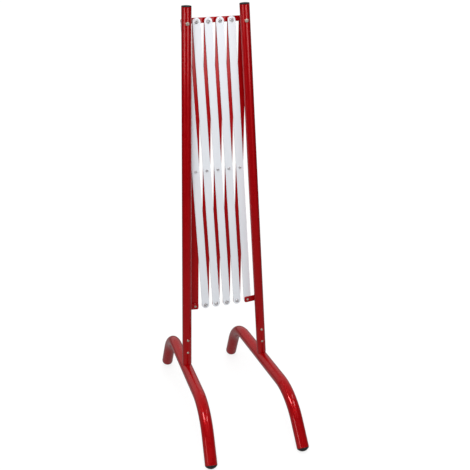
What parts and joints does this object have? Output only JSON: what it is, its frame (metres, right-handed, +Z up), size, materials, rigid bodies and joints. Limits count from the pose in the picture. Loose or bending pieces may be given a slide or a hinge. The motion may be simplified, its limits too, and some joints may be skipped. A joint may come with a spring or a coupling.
{
  "type": "expanding trellis barrier",
  "caption": "Folding trellis barrier: red and white riveted slats between two round posts on bent tube feet, shown closed.",
  "frame": {"origin": "on the ground, midway between the two posts and midway between front and back of the feet, folded", "axes": "+Z up, -Y towards the front (the side with the dome-headed bolts and the white slats), +X to the right seen from the front"},
  "size_m": [0.2794, 0.6096, 1.1123],
  "materials": {
    "red_paint": "gloss",
    "white_paint": "gloss",
    "zinc_steel": "satin",
    "black_plastic": "satin"
  },
  "bodies": {
    "left_post": {"left_post": "red_paint", "left_post_cap": "black_plastic", "left_foot": "red_paint", "left_spigot": "red_paint", "left_foot_plugs": "black_plastic", "left_post_rivets": "zinc_steel", "left_top_bolt": "zinc_steel", "left_top_spacers": "zinc_steel", "left_top_nut": "zinc_steel"},
    "right_post": {"right_post": "red_paint", "right_post_cap": "black_plastic", "right_foot": "red_paint", "right_spigot": "red_paint", "right_foot_plugs": "black_plastic", "right_post_rivets": "zinc_steel", "right_top_bolt": "zinc_steel", "right_top_spacers": "zinc_steel", "right_top_nut": "zinc_steel"},
    "top_bar": {"top_bar": "red_paint"},
    "white_1": {"white_slat_1": "white_paint"},
    "red_1": {"red_slat_1": "red_paint", "rivets_1": "zinc_steel", "washers_1": "zinc_steel", "left_guide_tab": "red_paint", "left_guide_pin": "zinc_steel", "left_tab_rivet": "zinc_steel", "left_tab_spacer": "zinc_steel"},
    "white_2": {"white_slat_2": "white_paint"},
    "red_2": {"red_slat_2": "red_paint", "rivets_2": "zinc_steel", "washers_2": "zinc_steel"},
    "white_3": {"white_slat_3": "white_paint"},
    "red_3": {"red_slat_3": "red_paint", "rivets_3": "zinc_steel", "washers_3": "zinc_steel"},
    "white_4": {"white_slat_4": "white_paint"},
    "red_4": {"red_slat_4": "red_paint", "rivets_4": "zinc_steel", "washers_4": "zinc_steel"},
    "white_5": {"white_slat_5": "white_paint", "right_guide_tab": "red_paint", "right_guide_pin": "zinc_steel", "right_tab_rivet": "zinc_steel"},
    "red_5": {"red_slat_5": "red_paint", "rivets_5": "zinc_steel", "washers_5": "zinc_steel"}
  },
  "joints": [
    {"name": "trellis_open", "type": "hinge", "parent": "left_post", "child": "white_1", "pos_m": [-0.07475, 0.019, 1.0693], "axis": [0, -1, 0], "range_deg": [0, 50]},
    {"name": "cross_1", "type": "hinge", "parent": "white_1", "child": "red_1", "pos_m": [-0.0598, 0.019, 0.68879], "axis": [0, -1, 0], "range_deg": [-100, 0]},
    {"name": "top_2", "type": "hinge", "parent": "red_1", "child": "white_2", "pos_m": [-0.04485, 0.019, 1.0693], "axis": [0, -1, 0], "range_deg": [0, 100]},
    {"name": "cross_2", "type": "hinge", "parent": "white_2", "child": "red_2", "pos_m": [-0.0299, 0.019, 0.68879], "axis": [0, -1, 0], "range_deg": [-100, 0]},
    {"name": "top_3", "type": "hinge", "parent": "red_2", "child": "white_3", "pos_m": [-0.01495, 0.019, 1.0693], "axis": [0, -1, 0], "range_deg": [0, 100]},
    {"name": "cross_3", "type": "hinge", "parent": "white_3", "child": "red_3", "pos_m": [0, 0.019, 0.68879], "axis": [0, -1, 0], "range_deg": [-100, 0]},
    {"name": "top_4", "type": "hinge", "parent": "red_3", "child": "white_4", "pos_m": [0.01495, 0.019, 1.0693], "axis": [0, -1, 0], "range_deg": [0, 100]},
    {"name": "cross_4", "type": "hinge", "parent": "white_4", "child": "red_4", "pos_m": [0.0299, 0.019, 0.68879], "axis": [0, -1, 0], "range_deg": [-100, 0]},
    {"name": "top_5", "type": "hinge", "parent": "red_4", "child": "white_5", "pos_m": [0.04485, 0.019, 1.0693], "axis": [0, -1, 0], "range_deg": [0, 100]},
    {"name": "cross_5", "type": "hinge", "parent": "white_5", "child": "red_5", "pos_m": [0.0598, 0.019, 0.68879], "axis": [0, -1, 0], "range_deg": [-100, 0]},
    {"name": "right_post_hinge", "type": "hinge", "parent": "red_5", "child": "right_post", "pos_m": [0.07475, 0.022, 1.0693], "axis": [0, -1, 0], "range_deg": [0, 50]},
    {"name": "bar_swing", "type": "hinge", "parent": "right_post", "child": "top_bar", "pos_m": [0.07475, 0.031, 1.0693], "axis": [0, 1, 0], "range_deg": [0, 120]}
  ],
  "couplings": [
    {"joint": "cross_1", "follows": "trellis_open", "ratio": -2},
    {"joint": "top_2", "follows": "trellis_open", "ratio": 2},
    {"joint": "cross_2", "follows": "trellis_open", "ratio": -2},
    {"joint": "top_3", "follows": "trellis_open", "ratio": 2},
    {"joint": "cross_3", "follows": "trellis_open", "ratio": -2},
    {"joint": "top_4", "follows": "trellis_open", "ratio": 2},
    {"joint": "cross_4", "follows": "trellis_open", "ratio": -2},
    {"joint": "top_5", "follows": "trellis_open", "ratio": 2},
    {"joint": "cross_5", "follows": "trellis_open", "ratio": -2},
    {"joint": "right_post_hinge", "follows": "trellis_open", "ratio": 1}
  ]
}
